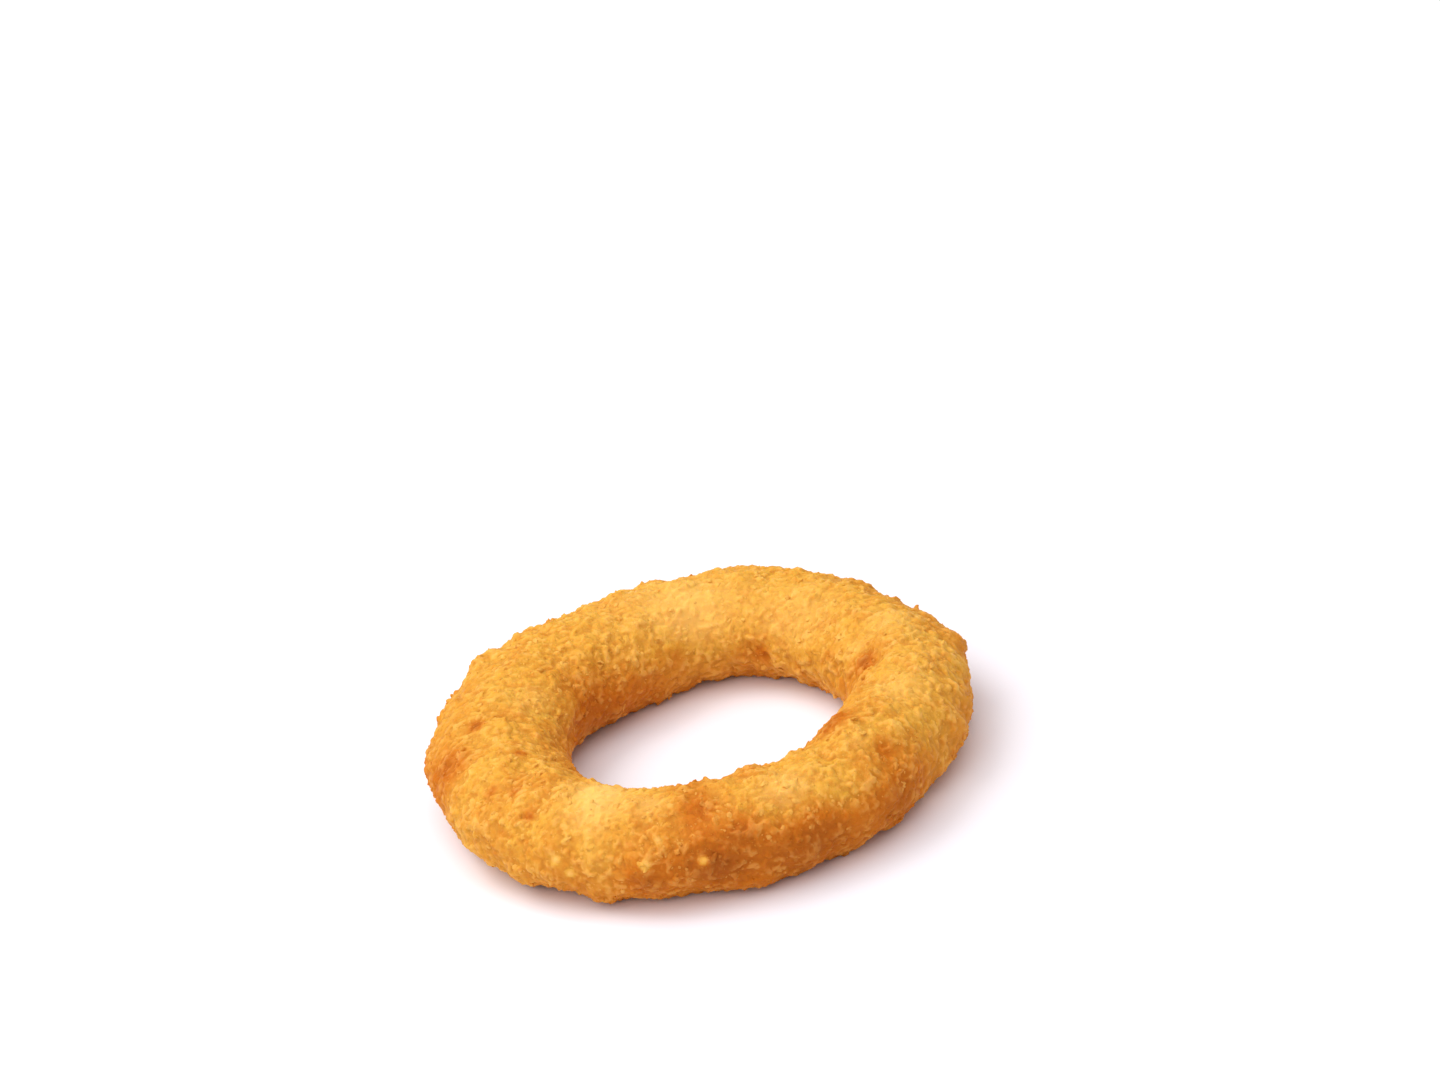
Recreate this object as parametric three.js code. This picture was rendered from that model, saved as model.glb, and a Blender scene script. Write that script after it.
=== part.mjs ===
// A fried onion ring in a crumb coat, lying flat, as one solid.
//
// Millimetres, +Z up. The origin is on the surface that the ring lies on, under the middle of its outline.
// +X runs along the ring's long way. Azimuths are in degrees about +Z from +X. A lift is an angle round the
// ring's own section: 0 points away from the hole, 90 up, 180 into the hole and 270 down.
//
// The form has four layers, each laid on the one before it:
//   1. a band of oval section, bent into a ring that is neither quite round nor of one thickness
//   2. low swells and lumps, where the batter ran thick or thin
//   3. crags of crumb, as many low domes that overlap, with flakes that stand out and a few pits
//   4. an underside that is pressed flat wherever it meets the surface below

import * as THREE from "three";
import { SimplexNoise } from "three/addons/math/SimplexNoise.js";
import { mergeVertices } from "three/addons/utils/BufferGeometryUtils.js";

// Driving sizes
const OUTER_DIAMETER = 72;
const BAND_WIDTH = 17;
const BAND_HEIGHT = 13.8;
const PRESSED_FLAT = 0.45; // how far the underside is pressed in

// Where the ring and its section depart from a plain torus: a share of the size, so many times round,
// with a crest at an azimuth.
const PATH_WAVES = [
  { times: 2, share: 0.015, crest: 44 },
  { times: 3, share: 0.016, crest: -59 },
  { times: 4, share: 0.007, crest: -9 },
  { times: 5, share: 0.012, crest: 4 },
];
const WIDTH_WAVES = [
  { times: 1, share: 0.088, crest: 148 },
  { times: 2, share: 0.019, crest: -26 },
];
const HEIGHT_WAVES = [
  { times: 1, share: 0.028, crest: 135 },
  { times: 2, share: 0.047, crest: -34 },
];

// The batter's swells and lumps: how far apart they are, and how much they raise or lower the coat
const SWELLS = { apart: 17, rise: 0.42 };
const LUMPS = { apart: 6.5, rise: 0.3 };

// Crags: low domes of stuck crumb, from small to large
const CRAG_COUNT = 680;
const CRAG_RADIUS = [1.1, 2.6];
const CRAG_RISE = [0.2, 0.85];
const CRAG_TRIES = 6; // places tried for each crag, of which the emptiest is taken

// Flakes stand out of the coat round its rim, and pits are where a crumb has come away.
const FLAKES = [
  { azimuth: 10, lift: 18, radius: 2.6, rise: 0.9 },
  { azimuth: 23, lift: 30, radius: 1.9, rise: 0.8 },
  { azimuth: 60, lift: 52, radius: 2.0, rise: 0.7 },
  { azimuth: 145, lift: 42, radius: 2.4, rise: 1.2 },
  { azimuth: 179, lift: 6, radius: 1.6, rise: 0.6 },
  { azimuth: 207, lift: -8, radius: 1.8, rise: 0.8 },
  { azimuth: 252, lift: 12, radius: 2.2, rise: 0.7 },
  { azimuth: 281, lift: 128, radius: 2.3, rise: 0.9 },
  { azimuth: 308, lift: 14, radius: 1.8, rise: 0.8 },
  { azimuth: 338, lift: 2, radius: 2.2, rise: 0.9 },
];
const PITS = [
  { azimuth: -2, lift: 126, radius: 1.7, rise: -0.85 },
  { azimuth: 63, lift: 184, radius: 2.0, rise: -0.8 },
  { azimuth: 179, lift: 78, radius: 1.3, rise: -0.5 },
  { azimuth: 312, lift: 50, radius: 2.2, rise: -0.6 },
];

// The mesh: facets round the ring and round its section, and how far each corner strays from an even grid
const FACETS_ROUND_RING = 148;
const FACETS_ROUND_SECTION = 38;
const STRAY = { share: 0.3, apart: 1.7 };

const SEED = 4117;
const CRUST_COLOUR = 0xe09a38;

const TURN = 2 * Math.PI;
const radians = THREE.MathUtils.degToRad;

// A seeded source of random numbers from 0 to 1, in the form that SimplexNoise asks for
function randomSource(seed) {
  let state = seed;
  return {
    random() {
      state = (state + 0x6d2b79f5) | 0;
      let mixed = Math.imul(state ^ (state >>> 15), 1 | state);
      mixed = (mixed + Math.imul(mixed ^ (mixed >>> 7), 61 | mixed)) ^ mixed;
      return ((mixed ^ (mixed >>> 14)) >>> 0) / 4294967296;
    },
  };
}

const draw = randomSource(SEED);
const noise = new SimplexNoise(draw);

const between = ([low, high], share) => low + (high - low) * share;

// 1 with the waves added, at an angle in radians
function withWaves(waves, angle) {
  return waves.reduce((sum, w) => sum + w.share * Math.cos(w.times * (angle - radians(w.crest))), 1);
}

// The ring before its relief: a point on the band, and the way that the coat faces there
function bandAt(azimuth, lift) {
  const path = ((OUTER_DIAMETER - BAND_WIDTH) / 2) * withWaves(PATH_WAVES, azimuth);
  const halfWidth = (BAND_WIDTH / 2) * withWaves(WIDTH_WAVES, azimuth);
  const halfHeight = (BAND_HEIGHT / 2) * withWaves(HEIGHT_WAVES, azimuth);
  const reach = path + halfWidth * Math.cos(lift);
  const outward = new THREE.Vector2(Math.cos(lift) / halfWidth, Math.sin(lift) / halfHeight).normalize();
  return {
    place: new THREE.Vector3(
      reach * Math.cos(azimuth),
      reach * Math.sin(azimuth),
      halfHeight * (1 + Math.sin(lift)) - PRESSED_FLAT,
    ),
    facing: new THREE.Vector3(
      outward.x * Math.cos(azimuth),
      outward.x * Math.sin(azimuth),
      outward.y,
    ),
  };
}

// A place on the band, drawn at random. A draw towards the hole is refused more often, because the band has
// less surface there.
function drawPlace() {
  for (;;) {
    const { place } = bandAt(draw.random() * TURN, draw.random() * TURN);
    if (draw.random() * (OUTER_DIAMETER / 2) < Math.hypot(place.x, place.y)) return place;
  }
}

// Crags spread evenly over the band: of a few places drawn, each takes the one furthest from those before it.
function scatterCrags() {
  const crags = [];
  const room = (place) => crags.reduce((least, c) => Math.min(least, place.distanceToSquared(c.place)), Infinity);
  while (crags.length < CRAG_COUNT) {
    const tries = Array.from({ length: CRAG_TRIES }, drawPlace);
    const place = tries.reduce((best, next) => (room(next) > room(best) ? next : best));
    const size = draw.random() ** 1.6;
    crags.push({
      place,
      radius: between(CRAG_RADIUS, size),
      rise: between(CRAG_RISE, 0.5 * (size + draw.random())),
    });
  }
  return crags;
}

const placed = (feature) => ({
  ...feature,
  place: bandAt(radians(feature.azimuth), radians(feature.lift)).place,
});

const crags = scatterCrags();
const flakes = FLAKES.map(placed);
const pits = PITS.map(placed);

// How far one crag, flake or pit moves the coat at a point: a dome, 0 from its radius outwards
function dome(feature, point) {
  const share = point.distanceTo(feature.place) / feature.radius;
  return share < 1 ? feature.rise * (1 - share * share) ** 0.75 : 0;
}

const noiseAt = (point, { apart, rise }) =>
  rise * noise.noise3d(point.x / apart, point.y / apart, point.z / apart);

// How far the coat stands off the band at a point of the band
function reliefAt(point) {
  const crag = crags.reduce((highest, c) => Math.max(highest, dome(c, point)), 0);
  const feature = [...flakes, ...pits].reduce((sum, f) => sum + dome(f, point), 0);
  return noiseAt(point, SWELLS) + noiseAt(point, LUMPS) + crag + feature - CRAG_RISE[0];
}

// One corner of the coat, from its place in the even grid
function coatCorner(azimuth, lift) {
  const { place } = bandAt(azimuth, lift);
  const stray = (offset) =>
    STRAY.share * noise.noise3d(place.x / STRAY.apart + offset, place.y / STRAY.apart, place.z / STRAY.apart);
  const strayed = bandAt(
    azimuth + (stray(0) * TURN) / FACETS_ROUND_RING,
    lift + (stray(OUTER_DIAMETER) * TURN) / FACETS_ROUND_SECTION,
  );
  const corner = strayed.place.clone().addScaledVector(strayed.facing, reliefAt(strayed.place));
  corner.z = Math.max(corner.z, 0);
  return corner;
}

// A torus's grid of faces, with each corner moved to its place on the coat. Each row round the ring starts half
// a facet short of the one before, which makes the facets near even-sided. The last row and the last column
// fall on corners that are already there, so the two are merged.
function coatGeometry() {
  const grid = new THREE.TorusGeometry(1, 0.5, FACETS_ROUND_SECTION, FACETS_ROUND_RING);
  const share = grid.getAttribute("uv");
  const position = grid.getAttribute("position");
  for (let i = 0; i < position.count; i++) {
    const row = Math.round(share.getY(i) * FACETS_ROUND_SECTION);
    const column = Math.round(share.getX(i) * FACETS_ROUND_RING) - row / 2;
    const corner = coatCorner(
      (THREE.MathUtils.euclideanModulo(column, FACETS_ROUND_RING) / FACETS_ROUND_RING) * TURN,
      ((row % FACETS_ROUND_SECTION) / FACETS_ROUND_SECTION) * TURN,
    );
    position.setXYZ(i, corner.x, corner.y, corner.z);
  }
  grid.deleteAttribute("normal");
  grid.deleteAttribute("uv");
  return mergeVertices(grid);
}

// Puts the middle of the outline over the origin
function centred(geometry) {
  geometry.computeBoundingBox();
  const middle = geometry.boundingBox.getCenter(new THREE.Vector3());
  return geometry.translate(-middle.x, -middle.y, 0);
}

function onionRing() {
  const coat = centred(coatGeometry());
  coat.computeVertexNormals();
  const crust = new THREE.MeshStandardMaterial({ color: CRUST_COLOUR, roughness: 0.7, metalness: 0 });
  const ring = new THREE.Mesh(coat, crust);
  ring.name = "onion_ring";
  return ring;
}

const part = new THREE.Group();
part.add(onionRing());

export default part;
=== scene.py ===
"""Onion Ring: dresses a fried onion ring in its crumb coat.

The ring's form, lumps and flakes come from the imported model. This file adds what is finer: a crust with the
relief of its stuck crumbs, crumbs of four kinds that stand on it, their materials, and a stage to look at
them on. Everything is in metres. The ring lies on z = 0 with its hole along Z.
"""

import math

import bpy
import numpy as np
from bpy.props import FloatProperty, FloatVectorProperty, IntProperty, PointerProperty
from mathutils import Matrix, Vector


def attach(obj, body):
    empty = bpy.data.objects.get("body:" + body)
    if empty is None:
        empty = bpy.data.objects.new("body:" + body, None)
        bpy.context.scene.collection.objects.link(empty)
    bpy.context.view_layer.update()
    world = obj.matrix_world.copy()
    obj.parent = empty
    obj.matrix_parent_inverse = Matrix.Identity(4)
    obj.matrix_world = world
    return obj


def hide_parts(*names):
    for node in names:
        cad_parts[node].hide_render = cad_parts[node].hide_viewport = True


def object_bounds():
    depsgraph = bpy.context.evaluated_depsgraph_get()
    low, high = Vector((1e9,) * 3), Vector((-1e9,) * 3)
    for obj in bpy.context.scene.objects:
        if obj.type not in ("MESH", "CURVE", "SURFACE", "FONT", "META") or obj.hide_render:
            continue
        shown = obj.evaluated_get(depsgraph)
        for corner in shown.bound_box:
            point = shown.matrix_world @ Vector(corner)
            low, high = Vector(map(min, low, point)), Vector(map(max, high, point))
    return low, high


bl_info = {
    "name": "Onion Ring",
    "version": (1, 0, 0),
    "blender": (4, 5, 0),
    "location": "3D View > Sidebar > Onion Ring",
    "description": "Coats a fried onion ring in crumbs and sets it on a lit stage",
    "category": "Object",
}

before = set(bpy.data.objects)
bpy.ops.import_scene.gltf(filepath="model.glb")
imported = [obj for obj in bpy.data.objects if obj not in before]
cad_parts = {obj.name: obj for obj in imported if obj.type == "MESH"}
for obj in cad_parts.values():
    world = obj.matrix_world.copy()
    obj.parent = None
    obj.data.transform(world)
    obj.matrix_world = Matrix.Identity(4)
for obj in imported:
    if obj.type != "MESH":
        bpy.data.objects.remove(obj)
CAD_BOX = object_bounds()

NODE = "onion_ring"
BODY = "root"

MM = 0.001

# The ring's band, as the frame has it: its outer corner, and the middle line and half sizes of its section
RIM = CAD_BOX[1]
HALF_HEIGHT = RIM.z / 2
HALF_WIDTH = 8.5 * MM
MIDDLE_LINE = (RIM.x + RIM.y) / 2 - HALF_WIDTH

# Painted shade: the sides and underside of the ring are a tone deeper than its crown, as they face away from
# the light.
SIDE_SHADE = 0.42

# Where the coat is a tone deeper or paler: what shows there, its azimuth about +Z from +X, its lift, its
# radius in millimetres, and its level at the middle, which is below 0 where it is paler. The pits, the
# furrow, the lips, the browned shoulder and the orange, golden and pale spots are the coat's own colour,
# taken in the oil or left pale. The light and deep patches on the sides, walls and crown, and the pale far
# crown, are painted light and painted shade, partly the coat's own tone; the pale bulge is pale batter with a
# painted highlight. A lift is an angle round the band's section: 0 outwards, 90 up, 180 into the hole.
PATCHES = (
    ("pit by the right of the hole", 2, 137, 1.6, 0.72),
    ("pit in the far wall of the hole", 59, 189, 1.5, 0.45),
    ("small pit by the far right of the hole", 23, 168, 1.0, 0.3),
    ("pit on the left crown", 180, 85, 1.1, 0.9),
    ("pit by the left of the hole", 202, 111, 0.9, 0.7),
    ("pit on the near left", 209, 54, 0.9, 0.5),
    ("pit on the near left crown", 216, 69, 1.1, 0.45),
    ("pit below the pale bulge", 224, 46, 1.0, 0.6),
    ("browned left shoulder", 191, 40, 3.8, 0.52),
    ("furrow on the near right", 314, 48, 1.8, 0.45),
    ("orange lip at the right of the hole", 314, 118, 3.0, 0.6),
    ("orange near crown", 266, 64, 2.8, 0.5),
    ("orange near side", 268, -4, 4.0, 0.55),
    ("orange spot at the near middle", 275, 27, 2.0, 0.35),
    ("deep near right side", 288, -4, 7.0, 0.42),
    ("near lip of the hole", 263, 114, 3.4, 0.32),
    ("near right lip of the hole", 282, 106, 3.0, 0.3),
    ("far lip of the hole", 93, 173, 2.0, 0.3),
    ("deep left wall of the hole", 135, 192, 8.0, 0.25),
    ("pale bulge", 237, 112, 3.2, -1.15),
    ("pale bulge's near slope", 240, 67, 3.4, -0.8),
    ("light near left side", 207, -4, 7.0, -0.45),
    ("light near side", 226, 0, 7.0, -0.22),
    ("light near middle", 243, 4, 2.8, -0.5),
    ("deep foot right of it", 254, -14, 2.6, 0.35),
    ("light near right side", 299, 30, 3.0, -0.35),
    ("light above the furrow", 311, 66, 2.0, -0.35),
    ("deep right side", 311, -14, 4.5, 0.3),
    ("pale patch right of the bulge", 254, 84, 2.6, -0.5),
    ("light near right crown", 287, 54, 4.0, -0.75),
    ("light right rim", -4, 22, 8.0, -0.22),
    ("golden near left crown", 214, 58, 4.5, 0.22),
    ("light low right rim", -30, 16, 6.0, -0.22),
    ("pale far crown", 86, 145, 6.0, -0.8),
    ("light far right wall of the hole", 48, 158, 6.5, -0.6),
    ("light right wall of the hole", 19, 185, 4.0, -0.25),
    ("light far left wall of the hole", 122, 156, 5.5, -0.32),
    ("light left wall of the hole", 167, 143, 4.5, -0.35),
    ("light far crown", 96, 105, 8.0, -0.2),
    ("pale patch at the far right", 15, 88, 3.2, -0.4),
    ("pale lip at the right", 11, 143, 2.0, -0.5),
    ("pale patch on the right crown", 337, 82, 3.2, -0.4),
    ("pale crumb low on the near side", 254, 6, 0.6, -1.2),
    ("pale crumb at the near middle", 266, 2, 0.6, -1.4),
    ("pale crumb low on the near left", 234, 5, 0.6, -1.2),
    ("pale crumb beside it", 237, -8, 0.5, -1.2),
    ("pale crumb on the near shoulder", 257, 29, 0.5, -1.2),
)

# The grains of crumb that are too small for the mesh
COARSE_GRAIN = {"size": 0.8 * MM, "depth": 0.09 * MM}
FINE_GRAIN = {"size": 0.4 * MM, "depth": 0.055 * MM}

# The coat's patches: broad and small ones that took more colour, and those where its tops stayed pale
BROAD_PATCHES = {"size": 7.0 * MM, "low": 0.46, "high": 0.68, "shift": 0.3}
SMALL_PATCHES = {"size": 1.7 * MM, "low": 0.50, "high": 0.66, "shift": 0.7}
PALE_PATCHES = {"size": 2.4 * MM, "low": 0.38, "high": 0.62, "shift": 0.0}

# The noise that these patches are cut from
PATCH_NOISE = {"Detail": 2.0, "Roughness": 0.55}

# How uneven packed grains are: how often they sway in a grain's length, and how far, as a share of it
SWAY = {"often": 1.4, "far": 0.7}

# How far a crumb's own tone counts as height in the coat, where 1 is the whole way from gap to top. A
# middling tone counts for nothing.
TONE_AS_HEIGHT = 0.45
MIDDLE_TONE = 0.5

# The height from which the coat's tops are paler, partly painted light. Where it is browned, and where shade
# is
# painted, they are less so: the share that is left at a level of browning and painted shade, down from 1
# where there is none.
PALE_FROM = 0.4
BROWNED_AND_SHADED_TOPS = {"From Max": 0.8, "To Min": 1.0, "To Max": 0.45}

# A crumb is a ball of so many subdivisions ("Steps"), pulled out of shape. "Flat" is its thickness, "Rugged"
# how far it is from round, and "Proud" how far its middle is above the surface, all as shares of its length.
STUCK_CRUMBS = {"Flat": 0.75, "Rugged": 0.6, "Proud": -0.12, "Steps": 1, "Seed": 5}
FINE_CRUMBS = {"Flat": 0.75, "Rugged": 0.5, "Proud": -0.18, "Steps": 1}
LARGER_CRUMBS = {"Flat": 0.6, "Rugged": 0.6, "Proud": -0.2, "Steps": 2}

# The kinds of crumb that stand on the crust: each one's piece, its material, how far its colour is shifted
# (towards pale above 0, towards browned below), and its shape.
CRUMB_KINDS = (
    ("crumbs_fine", "Fine fried crumb", 0.06, {**FINE_CRUMBS, "Seed": 11}),
    ("crumbs_golden", "Golden fried crumb", 0.0, {**LARGER_CRUMBS, "Seed": 23}),
    ("crumbs_pale", "Pale fried crumb", 0.2, {**LARGER_CRUMBS, "Seed": 37}),
    ("crumbs_browned", "Browned fried crumb", -0.2, {**LARGER_CRUMBS, "Seed": 53}),
)

# How long a crumb is along each of its own axes, at the least and at the most, as a share of its size
CRUMB_SHAPES = ((0.8, 0.6, 0.75), (1.25, 1.0, 1.25))

# How far a crumb leans from the surface at the most, in radians
CRUMB_LEAN = 0.6

# Small crumbs are commoner than large ones: a size is drawn evenly, as a share, and raised to this power.
SMALLER_BY = 2.2

# A crumb's dents: how many there are along a crumb of middling size, and the levels of noise that count as
# wholly in and wholly out
DENTS = {"along": 1.5, "in": 0.3, "out": 0.7}

# The form's own mesh: corners closer than this are one, and its facets are rounded in so many rounds
WELD_GAP = 0.001 * MM
ROUNDING = 2

# How far a place on the crust stands out of what is round it, by which its colour takes painted shade in its
# gaps
# and painted light on its tops: the steps along the mesh over which that is evened out, and the distance that
# counts as wholly out or in
CREST_STEPS = 10
CREST_REACH = 0.16 * MM

# How far the sides and the top of a crumb that stands on the crust count as standing out of the coat, so that
# its sides take the coat's painted shade and its top the coat's painted light
CRUMB_CRESTS = (0.25, 0.95)

# How far a coat of packed grains lies below their tops, on the whole, as a share of their depth
MEAN_DIP = 0.3

# Where the coat stayed so pale that it is nearly bare batter, and where strong painted light lies, its grains
# stand
# out less: the share that is left at the first of two levels of browning and painted light, up to 1 at the
# second
BARE_GRAIN = 0.25
BARE_LEVELS = (-0.9, -0.4)

# Starch swollen with oil: its refractive index, how little of its shine a dry crumb keeps, and how far red,
# green and blue light wander in it, as shares of GLOW_DEPTH. CRUST_GLOW is the share of the light that does
# so in the crust.
STARCH = {"IOR": 1.46, "Specular IOR Level": 0.12, "Subsurface Radius": (1.0, 0.55, 0.2)}
GLOW_DEPTH = 0.35 * MM
CRUST_GLOW = 0.6

# The lights: how wide each is and where it stands. They face the ring.
KEY_LIGHT = {"size": 0.50, "place": (-0.34, 0.20, 0.52)}
OVERHEAD_LIGHT = {"size": 1.50, "place": (-0.20, -0.30, 0.85)}
SKY_COLOUR = (1.0, 0.95, 0.96, 1.0)

# The width of the camera's sensor, in millimetres as its lens is
SENSOR_WIDTH = 36

# The floor: half its width, and how far it lies below the ring, so that no faces of the two coincide
FLOOR_HALF = 4.0
FLOOR_DROP = 0.05 * MM


def linear(hex_colour):
    """An sRGB hex colour as linear red, green and blue."""
    channels = [int(hex_colour[i:i + 2], 16) / 255 for i in (1, 3, 5)]
    return tuple(c / 12.92 if c <= 0.04045 else ((c + 0.055) / 1.055) ** 2.4 for c in channels)


def length(name, description, default, low=0.0):
    """A length that a user can change, in metres, and the least that it can be."""
    return FloatProperty(
        name=name, description=description, default=default, min=low,
        subtype="DISTANCE", unit="LENGTH", precision=5,
    )


def colour(name, description, default):
    """A colour that a user can change, from its sRGB hex value."""
    return FloatVectorProperty(
        name=name, description=description, default=linear(default), min=0, max=1, size=3, subtype="COLOR",
    )


def number(name, description, default, low=1):
    """A number of crumbs or triangles that a user can change, and the least that it can be."""
    return IntProperty(name=name, description=description, default=default, min=low)


# ---------------------------------------------------------------- settings


class FinishSettings(bpy.types.PropertyGroup):
    """Colours and shine that the crust and its crumbs share."""

    golden: colour("Golden", "Most of the coat", "#E4A73C")
    # Pale also lays painted light: the light patches, the pale bulge's highlight and the lit tops of the
    # grains.
    pale: colour("Pale", "Where the coat stayed light", "#F7C468")
    # Toasted also lays the painted shade of the ring's sides and of its deep patches.
    toasted: colour("Toasted", "Where the coat is a tone deeper, and in the gaps between crumbs", "#C86C0C")
    # Browned also lays painted shade: in the gaps between grains, on the sides of the crumbs, and on the most
    # shaded sides.
    browned: colour("Browned", "Where the coat took most colour", "#94480C")
    roughness: FloatProperty(
        name="Roughness", description="Roughness of the dry crumb", default=0.6, min=0, max=1,
        subtype="FACTOR",
    )


class CrustSettings(bpy.types.PropertyGroup):
    """Sizes of the crumbs that are stuck in the crust, and of its mesh."""

    crumb_count: number("Stuck Crumbs", "Number of crumbs in the crust", 22000)
    smallest: length("Smallest", "Smallest stuck crumb", 0.45 * MM, 0.2 * MM)
    largest: length("Largest", "Largest stuck crumb", 1.45 * MM, 0.3 * MM)
    mesh_size: length("Mesh Size", "Edge of the faces that join crumbs and batter", 0.22 * MM, 0.1 * MM)
    triangles: number("Triangles", "Most triangles in the crust", 196000, 1000)
    grit_size: length("Grit Size", "Size of the finest grains that the mesh holds", 0.9 * MM, 0.1 * MM)
    grit_depth: length("Grit Depth", "How far those grains stand out", 0.24 * MM)


class CrumbSettings(bpy.types.PropertyGroup):
    """Numbers and sizes of the crumbs that stand on the crust."""

    fine_count: number("Fine Crumbs", "Number of fine crumbs", 6500)
    golden_count: number("Golden Crumbs", "Number of golden crumbs", 1200)
    pale_count: number("Pale Crumbs", "Number of pale crumbs", 700)
    browned_count: number("Browned Crumbs", "Number of browned crumbs", 200)
    finest: length("Finest", "Smallest fine crumb", 0.28 * MM)
    smallest: length("Smallest", "Smallest of the other crumbs", 0.5 * MM)
    largest: length("Largest", "Largest crumb", 1.25 * MM)


class StageSettings(bpy.types.PropertyGroup):
    """The camera, the lights and the floor."""

    distance: length("Camera Distance", "From the camera to the ring", 795 * MM, 0.2)
    elevation: FloatProperty(
        name="Camera Elevation", description="How far the camera looks down",
        default=math.radians(27.8), subtype="ANGLE",
    )
    roll: FloatProperty(
        name="Camera Roll", description="How far the camera is turned about its line of sight",
        default=math.radians(11.3), subtype="ANGLE",
    )
    slide_right: length("Slide Right", "How far the camera is moved to its right", 2.8 * MM, -1)
    slide_up: length("Slide Up", "How far the camera is moved up, across its line of sight", 24.0 * MM, -1)
    lens: FloatProperty(name="Lens", description="Focal length", default=150, min=20, unit="CAMERA")
    floor: colour("Floor", "Plain pale floor", "#F5F4FA")
    key_power: FloatProperty(
        name="Key Light", description="Power of the key light", default=1.7, unit="POWER",
    )
    overhead_power: FloatProperty(
        name="Overhead Light", description="Power of the wide light above", default=9.35, unit="POWER",
    )
    sky: FloatProperty(name="Sky", description="Strength of the light from all round", default=0.5, min=0)


# ---------------------------------------------------------------- nodes and meshes


def add(tree, kind, inputs=None, **settings):
    """Adds one node with its settings, and gives its inputs values or links from other nodes' outputs."""
    node = tree.nodes.new(kind)
    for name, value in settings.items():
        setattr(node, name, value)
    for key, value in (inputs or {}).items():
        if isinstance(value, bpy.types.NodeSocket):
            tree.links.new(value, node.inputs[key])
        else:
            node.inputs[key].default_value = value
    return node


def new_tree(name, sockets):
    """An empty Geometry Nodes tree with named inputs, and the node that holds them."""
    tree = bpy.data.node_groups.new(name, "GeometryNodeTree")
    tree.interface.new_socket("Geometry", in_out="INPUT", socket_type="NodeSocketGeometry")
    for socket_name, socket_type in sockets:
        tree.interface.new_socket(socket_name, in_out="INPUT", socket_type="NodeSocket" + socket_type)
    tree.interface.new_socket("Geometry", in_out="OUTPUT", socket_type="NodeSocketGeometry")
    return tree, add(tree, "NodeGroupInput")


def close_tree(tree, geometry, material, rounded=True):
    """Ends a tree: instances made real, smooth or flat shading, the material and the output."""
    real = add(tree, "GeometryNodeRealizeInstances", {"Geometry": geometry})
    shaded = add(tree, "GeometryNodeSetShadeSmooth", {"Geometry": real.outputs[0], "Shade Smooth": rounded})
    finished = add(tree, "GeometryNodeSetMaterial", {"Geometry": shaded.outputs[0], "Material": material})
    add(tree, "NodeGroupOutput", {"Geometry": finished.outputs[0]})


def above_floor(tree, geometry):
    """Nothing on the ring reaches below what it lies on."""
    place = add(tree, "GeometryNodeInputPosition").outputs[0]
    x, y, z = add(tree, "ShaderNodeSeparateXYZ", {"Vector": place}).outputs
    height = add(tree, "ShaderNodeMath", {0: z, 1: 0.0}, operation="MAXIMUM").outputs[0]
    lifted = add(tree, "ShaderNodeCombineXYZ", {"X": x, "Y": y, "Z": height}).outputs[0]
    return add(tree, "GeometryNodeSetPosition", {"Geometry": geometry, "Position": lifted}).outputs[0]


def run_tree(obj, tree, values):
    """Gives obj a modifier with the tree, sets its inputs, and returns the result as a plain mesh."""
    modifier = obj.modifiers.new(tree.name, "NODES")
    modifier.node_group = tree
    for item in tree.interface.items_tree:
        if item.in_out == "INPUT" and item.name in values:
            modifier[item.identifier] = values[item.name]
    return evaluated_mesh(obj)


def evaluated_mesh(obj):
    """The mesh that obj's modifiers make. They're removed."""
    bpy.context.view_layer.update()
    graph = bpy.context.evaluated_depsgraph_get()
    mesh = bpy.data.meshes.new_from_object(obj.evaluated_get(graph), depsgraph=graph)
    obj.modifiers.clear()
    return mesh


def new_object(name, mesh):
    obj = bpy.data.objects.new(name, mesh)
    bpy.context.scene.collection.objects.link(obj)
    return obj


def finish_piece(obj):
    """Puts a finished piece on the ring's body."""
    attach(obj, BODY)


# ---------------------------------------------------------------- materials


def new_material(name):
    """A material with only its shader, which is linked to the output."""
    material = bpy.data.materials.new(name)
    material.use_nodes = True
    return material, material.node_tree, material.node_tree.nodes["Principled BSDF"]


def patches_of(tree, place, size, low, high, shift):
    """Soft patches about size across: 0 between them, 1 in them.

    They come in from low to high in a noise, which shift moves, so that no two kinds of patch fall together.
    """
    moved = add(tree, "ShaderNodeMapping", {"Vector": place, "Location": (shift,) * 3}).outputs[0]
    noise = add(tree, "ShaderNodeTexNoise", {"Vector": moved, "Scale": 1 / size, **PATCH_NOISE}).outputs[0]
    soft = add(
        tree, "ShaderNodeMapRange", {"Value": noise, "From Min": low, "From Max": high},
        interpolation_type="SMOOTHSTEP",
    )
    return soft.outputs[0]


def grains_of(tree, place, per_metre):
    """Packed grains, none of them quite round, so many to a metre.

    The outputs are each place's distance from the middle of its grain, as a share of the grain's size, and a
    colour drawn for each grain.
    """
    counted = add(tree, "ShaderNodeVectorMath", {0: place, "Scale": per_metre}, operation="SCALE").outputs[0]
    sway = add(tree, "ShaderNodeTexNoise", {"Vector": counted, "Scale": SWAY["often"], "Detail": 1.0})
    moved = add(
        tree, "ShaderNodeVectorMath", {0: sway.outputs["Color"], 1: (SWAY["far"],) * 3, 2: counted},
        operation="MULTIPLY_ADD",
    ).outputs[0]
    return add(tree, "ShaderNodeTexVoronoi", {"Vector": moved, "Scale": 1.0})


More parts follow.
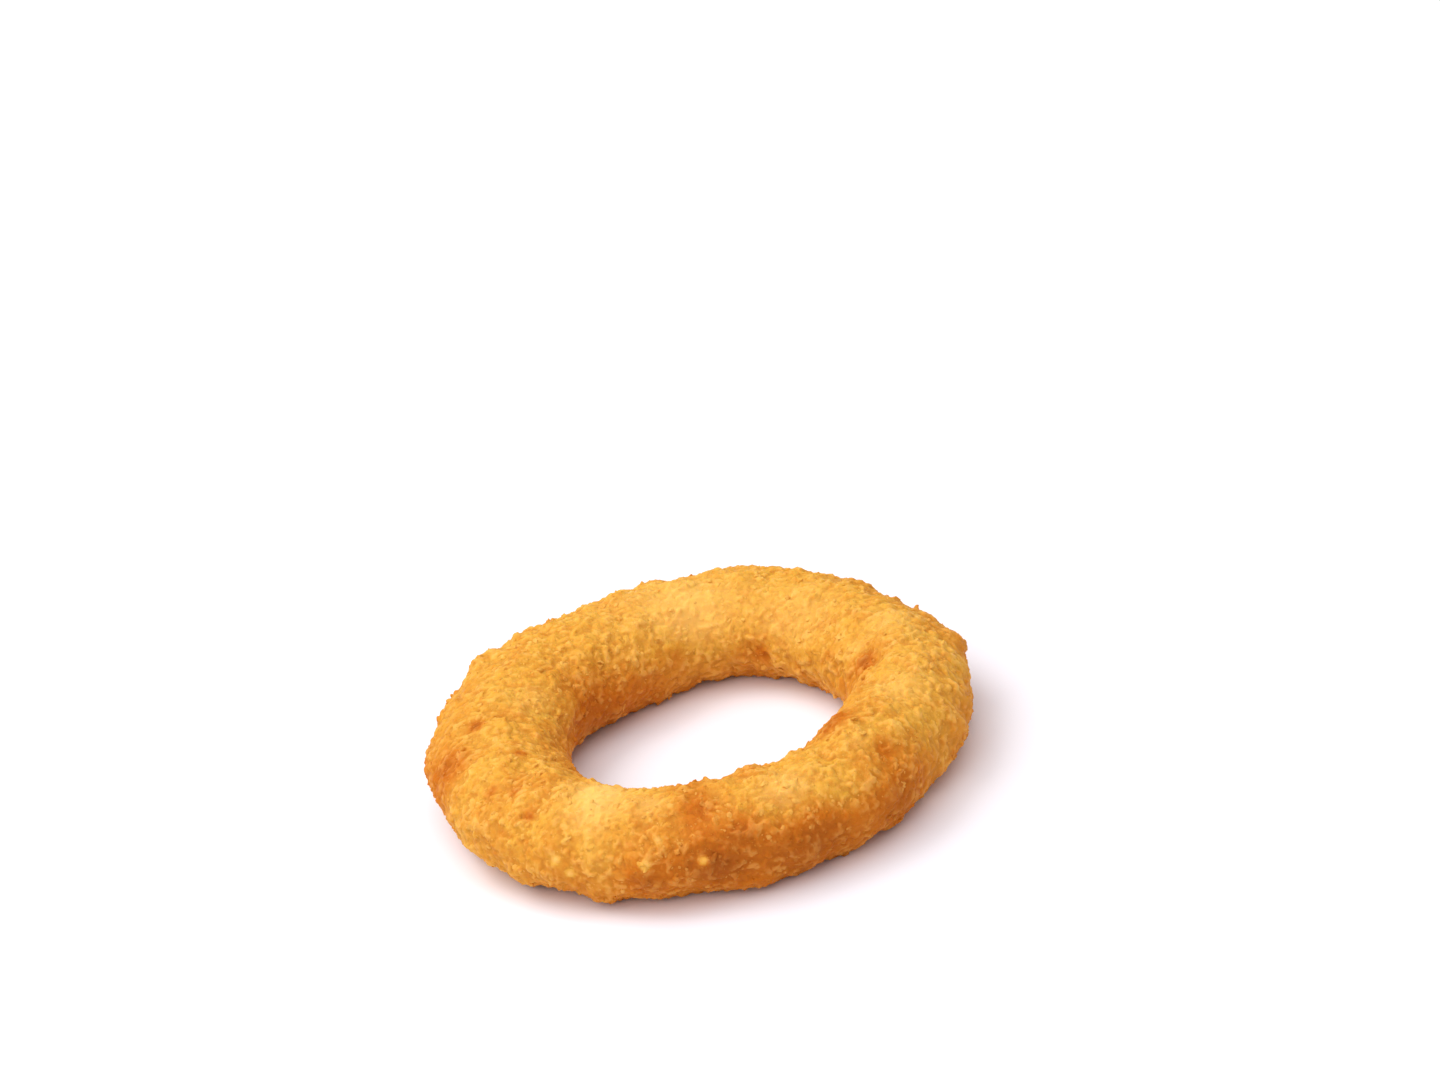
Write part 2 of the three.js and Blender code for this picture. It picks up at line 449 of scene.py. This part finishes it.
def lay_colours(tree, base, layers):
    """Lays colours over a base, one after the other.

    Each layer has its colour, what brings it in, the levels of that between which it comes in, and how far
    it hides what is below it at the second level.
    """
    for over, value, start, end, most in layers:
        ends = {"From Min": start, "From Max": end, "To Max": most}
        share = add(tree, "ShaderNodeMapRange", {"Value": value, **ends}).outputs[0]
        base = add(tree, "ShaderNodeMix", {0: share, 6: base, 7: over}, data_type="RGBA").outputs[2]
    return base


def opaque(rgb):
    """A colour as a shader's input takes it."""
    return (*rgb, 1.0)


def fried_finish(shader, roughness, glow):
    """What crust and crumbs share: starch swollen with oil, rough where it is dry.

    glow is the share of the light that wanders in it before it comes out.
    """
    values = {"Roughness": roughness, "Subsurface Weight": glow, "Subsurface Scale": GLOW_DEPTH, **STARCH}
    for name, value in values.items():
        shader.inputs[name].default_value = value


def fried_colour(tree, place, settings):
    """The coat's colour: golden, browned where the oil browned it and where shade is painted on its sides and
    walls, paler where light is painted, deeper in its gaps as painted shade, and paler on its tops, partly as
    painted light.
    """
    golden, pale, toasted, browned = (
        opaque(rgb) for rgb in (settings.golden, settings.pale, settings.toasted, settings.browned)
    )
    tone, crest, browning = (
        add(tree, "ShaderNodeAttribute", attribute_name=name, attribute_type="GEOMETRY").outputs["Fac"]
        for name in ("tone", "crest", "browning")
    )
    own = add(tree, "ShaderNodeMath", {0: tone, 1: MIDDLE_TONE}, operation="SUBTRACT").outputs[0]
    height = add(
        tree, "ShaderNodeMath", {0: own, 1: TONE_AS_HEIGHT, 2: crest}, operation="MULTIPLY_ADD",
    ).outputs[0]
    broad, small, lighter = (
        patches_of(tree, place, **patches) for patches in (BROAD_PATCHES, SMALL_PATCHES, PALE_PATCHES)
    )
    grain = grains_of(tree, place, 1 / FINE_GRAIN["size"]).outputs["Color"]
    pale_and_lit_tops = add(tree, "ShaderNodeMapRange", {"Value": height, "From Min": PALE_FROM}).outputs[0]
    unbrowned_and_unshaded = add(tree, "ShaderNodeMapRange", {"Value": browning, **BROWNED_AND_SHADED_TOPS}).outputs[0]
    for factor in (lighter, unbrowned_and_unshaded):
        pale_and_lit_tops = add(tree, "ShaderNodeMath", {0: pale_and_lit_tops, 1: factor}, operation="MULTIPLY").outputs[0]
    # Each one's colour, what brings it in, the levels between which it comes in, and how far it then hides
    # what is below it
    return lay_colours(tree, golden, (
        (toasted, broad, 0.0, 1.0, 0.30),
        (toasted, small, 0.0, 1.0, 0.32),
        (toasted, grain, 0.5, 0.9, 0.17),
        (pale, grain, 0.5, 0.1, 0.12),
        # Browning, and the painted shade of the sides, walls and deep patches
        (toasted, browning, 0.0, 0.5, 0.9),
        (browned, browning, 0.45, 1.0, 0.8),
        # Painted shade in the gaps between grains and on the sides of the crumbs
        (browned, height, 0.45, 0.0, 0.22),
        # Paler tops of the grains: partly their own tone, partly painted light
        (pale, pale_and_lit_tops, 0.0, 1.0, 0.43),
        # Pale batter, and the painted light of the light patches
        (pale, browning, 0.0, -1.0, 0.9),
    ))


def crumbed(tree, browning):
    """How far grains stand out: 1 on most of the coat, less where it stayed so pale that it is near bare, and
    where strong painted light lies.
    """
    ends = {"From Min": BARE_LEVELS[0], "From Max": BARE_LEVELS[1], "To Min": BARE_GRAIN, "To Max": 1.0}
    return add(tree, "ShaderNodeMapRange", {"Value": browning, **ends}).outputs[0]


def add_grain(tree, shader, place, grains):
    """Grains of crumb that the mesh is too coarse to hold, as bumps."""
    browning = add(tree, "ShaderNodeAttribute", attribute_name="browning", attribute_type="GEOMETRY")
    relief = {"Strength": crumbed(tree, browning.outputs["Fac"])}
    for grain in grains:
        away = grains_of(tree, place, 1 / grain["size"]).outputs["Distance"]
        dip = add(tree, "ShaderNodeMath", {0: away, 1: away}, operation="MULTIPLY").outputs[0]
        relief |= {"Height": dip, "Distance": grain["depth"]}
        relief["Normal"] = add(tree, "ShaderNodeBump", relief, invert=True).outputs[0]
    tree.links.new(relief["Normal"], shader.inputs["Normal"])


def crust_material(settings):
    """Deep-fried crumb crust: dry, granular, golden, mottled where crumbs took more or less colour, with
    painted shade in its gaps and on its sides and painted light on its tops and light patches.
    """
    material, tree, shader = new_material("Deep-fried crumb crust")
    place = add(tree, "ShaderNodeTexCoord").outputs["Object"]
    tree.links.new(fried_colour(tree, place, settings), shader.inputs["Base Color"])
    fried_finish(shader, settings.roughness, CRUST_GLOW)
    add_grain(tree, shader, place, (COARSE_GRAIN, FINE_GRAIN))
    return material


def crumb_material(name, tone, settings):
    """Crumbs of fried bread: dry, sharp, the colour of the coat round them, each a little lighter or deeper,
    with painted shade on their sides and painted light on their tops.

    tone is how far the kind as a whole is shifted: towards pale above 0, towards browned below.
    """
    material, tree, shader = new_material(name)
    place = add(tree, "ShaderNodeTexCoord").outputs["Object"]
    base = fried_colour(tree, place, settings)
    over = opaque(settings.pale if tone > 0 else settings.browned)
    shifted = add(tree, "ShaderNodeMix", {0: abs(tone), 6: base, 7: over}, data_type="RGBA").outputs[2]
    tree.links.new(shifted, shader.inputs["Base Color"])
    fried_finish(shader, settings.roughness, 0.0)
    add_grain(tree, shader, place, (FINE_GRAIN,))
    return material


def floor_material(rgb):
    """White seamless paper: matt, with no sheen to mirror the ring."""
    material, _, shader = new_material("White seamless paper")
    shader.inputs["Base Color"].default_value = opaque(rgb)
    shader.inputs["Roughness"].default_value = 0.95
    shader.inputs["Specular IOR Level"].default_value = 0.1
    return material


# ---------------------------------------------------------------- crust


# The inputs of each tree that makes crumbs
CRUMB_INPUTS = (
    ("Count", "Int"), ("Smallest", "Float"), ("Largest", "Float"), ("Flat", "Float"), ("Rugged", "Float"),
    ("Proud", "Float"), ("Steps", "Int"), ("Seed", "Int"), ("Material", "Material"),
)


def smooth_form():
    """The ring's own form from the frame, with its facets rounded."""
    form = new_object("ring_form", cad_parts[NODE].data.copy())
    weld = form.modifiers.new("Weld", "WELD")
    weld.merge_threshold = WELD_GAP
    rounded = form.modifiers.new("Rounded", "SUBSURF")
    rounded.levels = rounded.render_levels = ROUNDING
    form.data = evaluated_mesh(form)
    form.data.materials.clear()
    return form


def joined_evenly(obj, mesh_size, triangles):
    """One closed skin round all that obj holds, with even faces first and then only as many as asked for."""
    even = obj.modifiers.new("Even", "REMESH")
    even.mode = "VOXEL"
    even.voxel_size = mesh_size
    skin = new_object("skin", evaluated_mesh(obj))
    even_triangles = 2 * len(skin.data.polygons)
    fewer = skin.modifiers.new("Fewer", "DECIMATE")
    fewer.ratio = min(1.0, triangles / even_triangles)
    skin.data = evaluated_mesh(skin)
    return skin


def angle_between(first, second):
    """The shorter way round from one angle to another, in radians."""
    return np.abs((first - second + math.pi) % (2 * math.pi) - math.pi)


def store_browning_and_painted_light(mesh):
    """Gives each point of the mesh its level of browning and painted light, from -1 to 1: painted shade on
    the ring's sides, and the patches, which are partly the coat's own tone and partly painted light and
    shade.
    """
    points = np.empty(len(mesh.vertices) * 3)
    mesh.vertices.foreach_get("co", points)
    points = points.reshape(-1, 3)
    across = np.hypot(points[:, 0], points[:, 1]) - MIDDLE_LINE
    up = (points[:, 2] - HALF_HEIGHT) * HALF_WIDTH / HALF_HEIGHT
    azimuth, lift = np.arctan2(points[:, 1], points[:, 0]), np.arctan2(up, across)
    # Painted shade: the sides and underside a tone deeper than the crown
    browning = SIDE_SHADE * (1 - np.clip(up / np.hypot(across, up), 0, 1))
    for _, patch_azimuth, patch_lift, radius, level in PATCHES:
        round_ring = MIDDLE_LINE * angle_between(azimuth, math.radians(patch_azimuth))
        round_band = HALF_WIDTH * angle_between(lift, math.radians(patch_lift))
        middle = points[np.argmin(np.hypot(round_ring, round_band))]
        away = np.linalg.norm(points - middle, axis=1)
        browning += level * np.exp(-(away / (radius * MM)) ** 2)
    layer = mesh.attributes.new("browning", "FLOAT", "POINT")
    layer.data.foreach_set("value", np.clip(browning, -1, 1).astype(np.float32))


def batter_with_crumbs_tree():
    """Adds stuck crumbs to a form, and gives each its tone. The form itself has a tone of 0."""
    tree, given = new_tree("Batter with crumbs", CRUMB_INPUTS)
    crumbs = crumbs_on(tree, given, given.outputs["Geometry"])
    both = add(tree, "GeometryNodeJoinGeometry")
    tree.links.new(given.outputs["Geometry"], both.inputs[0])
    tree.links.new(crumbs, both.inputs[0])
    close_tree(tree, both.outputs[0], given.outputs["Material"])
    return tree


def crust_finish_tree():
    """Roughens a skin with grit, and keeps its tone and how far each point stands out of those round it."""
    tree, given = new_tree("Crust finish", (
        ("Crumbs", "Object"), ("Grit Size", "Float"), ("Grit Depth", "Float"), ("Material", "Material"),
    ))
    place = add(tree, "GeometryNodeInputPosition").outputs[0]
    out = add(tree, "GeometryNodeInputNormal").outputs[0]
    grit_size, grit_depth = given.outputs["Grit Size"], given.outputs["Grit Depth"]
    per_metre = add(tree, "ShaderNodeMath", {0: 1.0, 1: grit_size}, operation="DIVIDE").outputs[0]
    away = grains_of(tree, place, per_metre).outputs["Distance"]
    dip = add(tree, "ShaderNodeMath", {0: away, 1: away}, operation="MULTIPLY").outputs[0]
    rise = add(tree, "ShaderNodeMath", {0: MEAN_DIP, 1: dip}, operation="SUBTRACT").outputs[0]
    browning = add(tree, "GeometryNodeInputNamedAttribute", {"Name": "browning"}, data_type="FLOAT")
    for factor in (grit_depth, crumbed(tree, browning.outputs[0])):
        rise = add(tree, "ShaderNodeMath", {0: rise, 1: factor}, operation="MULTIPLY").outputs[0]
    offset = add(tree, "ShaderNodeVectorMath", {0: out, "Scale": rise}, operation="SCALE").outputs[0]
    gritty = add(
        tree, "GeometryNodeSetPosition", {"Geometry": given.outputs["Geometry"], "Offset": offset},
    ).outputs[0]
    gritty = above_floor(tree, gritty)
    source = add(tree, "GeometryNodeObjectInfo", {"Object": given.outputs["Crumbs"]}).outputs["Geometry"]
    own = add(tree, "GeometryNodeInputNamedAttribute", {"Name": "tone"}, data_type="FLOAT").outputs[0]
    tone = add(
        tree, "GeometryNodeSampleNearestSurface", {"Mesh": source, "Value": own, "Sample Position": place},
        data_type="FLOAT",
    ).outputs[0]
    toned = add(
        tree, "GeometryNodeStoreNamedAttribute", {"Geometry": gritty, "Name": "tone", "Value": tone},
        data_type="FLOAT", domain="POINT",
    ).outputs[0]
    evened = add(
        tree, "GeometryNodeBlurAttribute", {"Value": place, "Iterations": CREST_STEPS},
        data_type="FLOAT_VECTOR",
    ).outputs[0]
    stand = add(tree, "ShaderNodeVectorMath", {0: place, 1: evened}, operation="SUBTRACT").outputs[0]
    stand = add(tree, "ShaderNodeVectorMath", {0: stand, 1: out}, operation="DOT_PRODUCT").outputs["Value"]
    crest = add(
        tree, "ShaderNodeMapRange", {"Value": stand, "From Min": -CREST_REACH, "From Max": CREST_REACH},
    ).outputs[0]
    kept = add(
        tree, "GeometryNodeStoreNamedAttribute", {"Geometry": toned, "Name": "crest", "Value": crest},
        data_type="FLOAT", domain="POINT",
    ).outputs[0]
    close_tree(tree, kept, given.outputs["Material"])
    return tree


class ONIONRING_OT_crust(bpy.types.Operator):
    """Make the crust: the ring's form with the relief of its stuck crumbs"""

    bl_idname = "onionring.crust"
    bl_label = "Crust"

    def execute(self, context):
        settings = context.scene.onion_ring_crust
        form = smooth_form()
        coated = new_object("coated", run_tree(form, batter_with_crumbs_tree(), {
            "Count": settings.crumb_count, "Smallest": settings.smallest, "Largest": settings.largest,
            **STUCK_CRUMBS,
        }))
        skin = joined_evenly(coated, settings.mesh_size, settings.triangles)
        store_browning_and_painted_light(skin.data)
        crust = new_object("crust", run_tree(skin, crust_finish_tree(), {
            "Crumbs": coated, "Grit Size": settings.grit_size, "Grit Depth": settings.grit_depth,
            "Material": crust_material(context.scene.onion_ring_finish),
        }))
        for helper in (form, coated, skin):
            bpy.data.objects.remove(helper)
        finish_piece(crust)
        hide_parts(NODE)
        return {"FINISHED"}


# ---------------------------------------------------------------- crumbs


def sown_points(tree, given, source):
    """The node that sows points evenly over a surface, as many as asked for, each with its way up."""
    faces = add(tree, "GeometryNodeInputMeshFaceArea").outputs[0]
    area = add(
        tree, "GeometryNodeAttributeStatistic", {"Geometry": source, "Attribute": faces},
        data_type="FLOAT", domain="FACE",
    ).outputs["Sum"]
    count = given.outputs["Count"]
    density = add(tree, "ShaderNodeMath", {0: count, 1: area}, operation="DIVIDE").outputs[0]
    return add(
        tree, "GeometryNodeDistributePointsOnFaces",
        {"Mesh": source, "Density": density, "Seed": given.outputs["Seed"]},
    )


def crumbs_on(tree, given, source):
    """Crumbs on a surface, each of its own size, shape, turn and tone (0 to 1), and partly sunk into it."""
    seed = given.outputs["Seed"]
    place = add(tree, "GeometryNodeInputPosition").outputs[0]
    points = sown_points(tree, given, source)
    draw = add(tree, "FunctionNodeRandomValue", {2: 0.0, 3: 1.0, "Seed": seed}, data_type="FLOAT").outputs[1]
    small = add(tree, "ShaderNodeMath", {0: draw, 1: SMALLER_BY}, operation="POWER").outputs[0]
    smallest, largest = given.outputs["Smallest"], given.outputs["Largest"]
    size = add(
        tree, "ShaderNodeMapRange", {"Value": small, "To Min": smallest, "To Max": largest},
    ).outputs[0]
    lift = add(tree, "ShaderNodeMath", {0: size, 1: given.outputs["Proud"]}, operation="MULTIPLY").outputs[0]
    out = add(
        tree, "ShaderNodeVectorMath", {0: points.outputs["Normal"], "Scale": lift}, operation="SCALE",
    ).outputs[0]
    sunk = add(tree, "GeometryNodeSetPosition", {"Geometry": points.outputs[0], "Offset": out}).outputs[0]
    shape = add(
        tree, "FunctionNodeRandomValue", {0: CRUMB_SHAPES[0], 1: CRUMB_SHAPES[1], "Seed": seed},
        data_type="FLOAT_VECTOR",
    ).outputs[0]
    flat = add(tree, "ShaderNodeCombineXYZ", {"X": 1.0, "Y": 1.0, "Z": given.outputs["Flat"]}).outputs[0]
    shape = add(tree, "ShaderNodeVectorMath", {0: shape, 1: flat}, operation="MULTIPLY").outputs[0]
    scale = add(tree, "ShaderNodeVectorMath", {0: shape, "Scale": size}, operation="SCALE").outputs[0]
    furthest = (CRUMB_LEAN, CRUMB_LEAN, math.pi)
    turn = add(
        tree, "FunctionNodeRandomValue", {0: tuple(-angle for angle in furthest), 1: furthest, "Seed": seed},
        data_type="FLOAT_VECTOR",
    ).outputs[0]
    turned = add(
        tree, "FunctionNodeRotateRotation", {0: points.outputs["Rotation"], 1: turn}, rotation_space="LOCAL",
    ).outputs[0]
    # The ball is a metre across, so a crumb's scale is its size.
    ball = add(tree, "GeometryNodeMeshIcoSphere", {"Radius": 0.5, "Subdivisions": given.outputs["Steps"]})
    crumbs = add(
        tree, "GeometryNodeInstanceOnPoints",
        {"Points": sunk, "Instance": ball.outputs[0], "Rotation": turned, "Scale": scale},
    ).outputs[0]
    tone = add(tree, "FunctionNodeRandomValue", {2: 0.0, 3: 1.0, "Seed": seed}, data_type="FLOAT").outputs[1]
    for name, value, data_type in (
        ("tone", tone, "FLOAT"),
        ("middle", place, "FLOAT_VECTOR"),
        ("upright", points.outputs["Normal"], "FLOAT_VECTOR"),
    ):
        crumbs = add(
            tree, "GeometryNodeStoreNamedAttribute", {"Geometry": crumbs, "Name": name, "Value": value},
            data_type=data_type, domain="INSTANCE",
        ).outputs[0]
    real = add(tree, "GeometryNodeRealizeInstances", {"Geometry": crumbs}).outputs[0]
    return above_floor(tree, crested(tree, dented(tree, given, real)))


def dented(tree, given, crumbs):
    """Crumbs that are pulled in and out from their middles, so that none is round."""
    place = add(tree, "GeometryNodeInputPosition").outputs[0]
    middle = add(
        tree, "GeometryNodeInputNamedAttribute", {"Name": "middle"}, data_type="FLOAT_VECTOR",
    ).outputs[0]
    reach = add(tree, "ShaderNodeVectorMath", {0: place, 1: middle}, operation="SUBTRACT").outputs[0]
    both = add(
        tree, "ShaderNodeMath", {0: given.outputs["Smallest"], 1: given.outputs["Largest"]}, operation="ADD",
    ).outputs[0]
    per_metre = add(tree, "ShaderNodeMath", {0: 2 * DENTS["along"], 1: both}, operation="DIVIDE").outputs[0]
    dents = add(tree, "ShaderNodeTexNoise", {"Vector": place, "Scale": per_metre, "Detail": 1.0}).outputs[0]
    furthest = given.outputs["Rugged"]
    inward = add(tree, "ShaderNodeMath", {0: furthest, 1: -1.0}, operation="MULTIPLY").outputs[0]
    ends = {"From Min": DENTS["in"], "From Max": DENTS["out"], "To Min": inward, "To Max": furthest}
    pull = add(tree, "ShaderNodeMapRange", {"Value": dents, **ends}).outputs[0]
    pulled = add(tree, "ShaderNodeVectorMath", {0: reach, "Scale": pull}, operation="SCALE").outputs[0]
    return add(tree, "GeometryNodeSetPosition", {"Geometry": crumbs, "Offset": pulled}).outputs[0]


def crested(tree, crumbs):
    """Crumbs that hold how far each face stands out of the coat, by how far it faces away from it; the colour
    paints shade on the faces that turn aside.
    """
    out = add(tree, "GeometryNodeInputNormal").outputs[0]
    upright = add(
        tree, "GeometryNodeInputNamedAttribute", {"Name": "upright"}, data_type="FLOAT_VECTOR",
    ).outputs[0]
    facing = add(tree, "ShaderNodeVectorMath", {0: out, 1: upright}, operation="DOT_PRODUCT")
    ends = {"To Min": CRUMB_CRESTS[0], "To Max": CRUMB_CRESTS[1]}
    crest = add(tree, "ShaderNodeMapRange", {"Value": facing.outputs["Value"], **ends}).outputs[0]
    crumbs = add(
        tree, "GeometryNodeStoreNamedAttribute", {"Geometry": crumbs, "Name": "crest", "Value": crest},
        data_type="FLOAT", domain="POINT",
    ).outputs[0]
    for spare in ("middle", "upright"):
        crumbs = add(tree, "GeometryNodeRemoveAttribute", {"Geometry": crumbs, "Name": spare}).outputs[0]
    return crumbs


def loose_crumbs_tree():
    """Crumbs alone, without the surface that they stand on. They broke sharp, so their faces stay flat."""
    tree, given = new_tree("Loose crumbs", CRUMB_INPUTS)
    crumbs = crumbs_on(tree, given, given.outputs["Geometry"])
    close_tree(tree, crumbs, given.outputs["Material"], rounded=False)
    return tree


def crumb_sizes(settings):
    """Each kind's number, smallest and largest, by its piece's name."""
    return {
        "crumbs_fine": (settings.fine_count, settings.finest, settings.smallest),
        "crumbs_golden": (settings.golden_count, settings.smallest, settings.largest),
        "crumbs_pale": (settings.pale_count, settings.smallest, settings.largest),
        "crumbs_browned": (settings.browned_count, settings.smallest, settings.largest),
    }


class ONIONRING_OT_crumbs(bpy.types.Operator):
    """Scatter fine, golden, pale and browned crumbs over the crust"""

    bl_idname = "onionring.crumbs"
    bl_label = "Crumbs"

    def execute(self, context):
        tree = loose_crumbs_tree()
        sizes = crumb_sizes(context.scene.onion_ring_crumbs)
        ground = new_object("ground", bpy.data.objects["crust"].data.copy())
        for name, material_name, tone, shape in CRUMB_KINDS:
            count, smallest, largest = sizes[name]
            mesh = run_tree(ground, tree, {
                "Count": count, "Smallest": smallest, "Largest": largest, **shape,
                "Material": crumb_material(material_name, tone, context.scene.onion_ring_finish),
            })
            finish_piece(new_object(name, mesh))
        bpy.data.objects.remove(ground)
        return {"FINISHED"}


# ---------------------------------------------------------------- stage


def make_floor(rgb):
    """A plain floor that reaches past all that the camera sees."""
    corners = [(-1, -1), (1, -1), (1, 1), (-1, 1)]
    mesh = bpy.data.meshes.new("floor")
    mesh.from_pydata([(x * FLOOR_HALF, y * FLOOR_HALF, -FLOOR_DROP) for x, y in corners], [], [(0, 1, 2, 3)])
    mesh.materials.append(floor_material(rgb))
    floor = new_object("floor", mesh)


def make_light(name, power, size, place):
    """A soft square light that faces the ring."""
    data = bpy.data.lights.new(name, "AREA")
    data.energy = power
    data.size = size
    light = new_object(name, data)
    light.location = place
    light.rotation_euler = (-Vector(place)).to_track_quat("-Z", "Y").to_euler()


def make_sky(strength):
    """Even light from all round."""
    world = bpy.data.worlds.new("Studio")
    world.use_nodes = True
    background = world.node_tree.nodes["Background"]
    background.inputs["Color"].default_value = SKY_COLOUR
    background.inputs["Strength"].default_value = strength
    bpy.context.scene.world = world


def make_camera(settings):
    """A long lens that looks down on the ring, turned a little about its line of sight."""
    down, turned = settings.elevation, settings.roll
    ahead = Vector((0, math.cos(down), -math.sin(down)))
    level = Vector((1, 0, 0))
    upright = level.cross(ahead)
    right = math.cos(turned) * level - math.sin(turned) * upright
    up = math.sin(turned) * level + math.cos(turned) * upright
    middle = Vector((0, 0, HALF_HEIGHT))
    place = middle - settings.distance * ahead + settings.slide_right * right + settings.slide_up * up
    data = bpy.data.cameras.new("camera")
    data.lens = settings.lens
    data.sensor_width = SENSOR_WIDTH
    camera = new_object("camera", data)
    turn = Matrix((right, up, -ahead)).transposed().to_4x4()
    camera.matrix_world = Matrix.Translation(place) @ turn
    bpy.context.scene.camera = camera


class ONIONRING_OT_stage(bpy.types.Operator):
    """Set up the floor, the lights and the camera"""

    bl_idname = "onionring.stage"
    bl_label = "Stage"

    def execute(self, context):
        settings = context.scene.onion_ring_stage
        make_floor(settings.floor)
        make_light("key", settings.key_power, **KEY_LIGHT)
        make_light("overhead", settings.overhead_power, **OVERHEAD_LIGHT)
        make_sky(settings.sky)
        make_camera(settings)
        context.scene.view_settings.view_transform = "Standard"
        return {"FINISHED"}


# ---------------------------------------------------------------- panel and registration


class ONIONRING_PT_panel(bpy.types.Panel):
    """The ring's operators, each with its settings"""

    bl_idname = "ONIONRING_PT_panel"
    bl_label = "Onion Ring"
    bl_space_type = "VIEW_3D"
    bl_region_type = "UI"
    bl_category = "Onion Ring"

    def draw(self, context):
        for operator, settings in STEPS:
            box = self.layout.box()
            box.operator(operator.bl_idname)
            for group in (getattr(context.scene, name) for name in settings):
                for name in group.__annotations__:
                    box.prop(group, name)


SETTINGS = {
    "onion_ring_finish": FinishSettings,
    "onion_ring_crust": CrustSettings,
    "onion_ring_crumbs": CrumbSettings,
    "onion_ring_stage": StageSettings,
}
STEPS = (
    (ONIONRING_OT_crust, ("onion_ring_finish", "onion_ring_crust")),
    (ONIONRING_OT_crumbs, ("onion_ring_crumbs",)),
    (ONIONRING_OT_stage, ("onion_ring_stage",)),
)
CLASSES = (*SETTINGS.values(), *(operator for operator, _ in STEPS), ONIONRING_PT_panel)


def register():
    for cls in CLASSES:
        bpy.utils.register_class(cls)
    for name, cls in SETTINGS.items():
        setattr(bpy.types.Scene, name, PointerProperty(type=cls))


def unregister():
    for name in SETTINGS:
        delattr(bpy.types.Scene, name)
    for cls in reversed(CLASSES):
        bpy.utils.unregister_class(cls)


def main():
    register()
    bpy.ops.onionring.crust()
    bpy.ops.onionring.crumbs()
    bpy.ops.onionring.stage()


if __name__ == "__main__":
    main()
